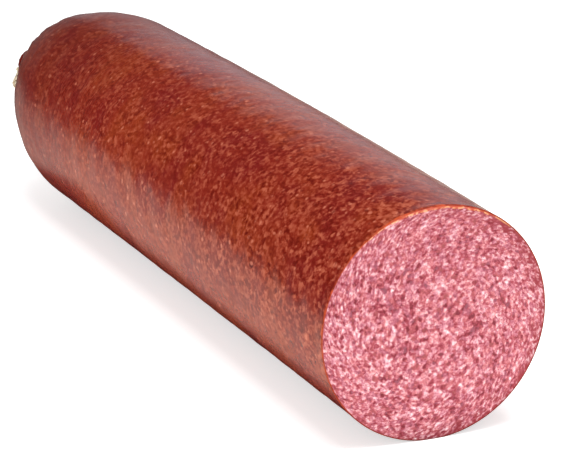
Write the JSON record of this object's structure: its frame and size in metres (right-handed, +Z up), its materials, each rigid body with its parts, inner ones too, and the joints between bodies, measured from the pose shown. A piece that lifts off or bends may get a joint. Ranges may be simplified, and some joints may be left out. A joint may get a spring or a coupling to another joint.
{
  "type": "cured sausage",
  "caption": "Fine-grained cured sausage log with one straight cut end and one domed end, whose pleated casing is tied off with twine.",
  "frame": {"origin": "middle of the whole part's underside, on the surface it rests on", "axes": "+X along the log towards the cut face, -X towards the tied end, +Z up"},
  "size_m": [0.3158, 0.0722, 0.0705],
  "materials": {
    "casing": "deep brown-red satin casing with fine lighter flecks of fat under it",
    "cut_meat": "moist cut face of fine pink lean and pale fat grain",
    "twine": "undyed twisted twine"
  },
  "bodies": {
    "root": {"sausage": "casing", "twine_binding": "twine", "twine_knot": "twine"}
  },
  "joints": []
}
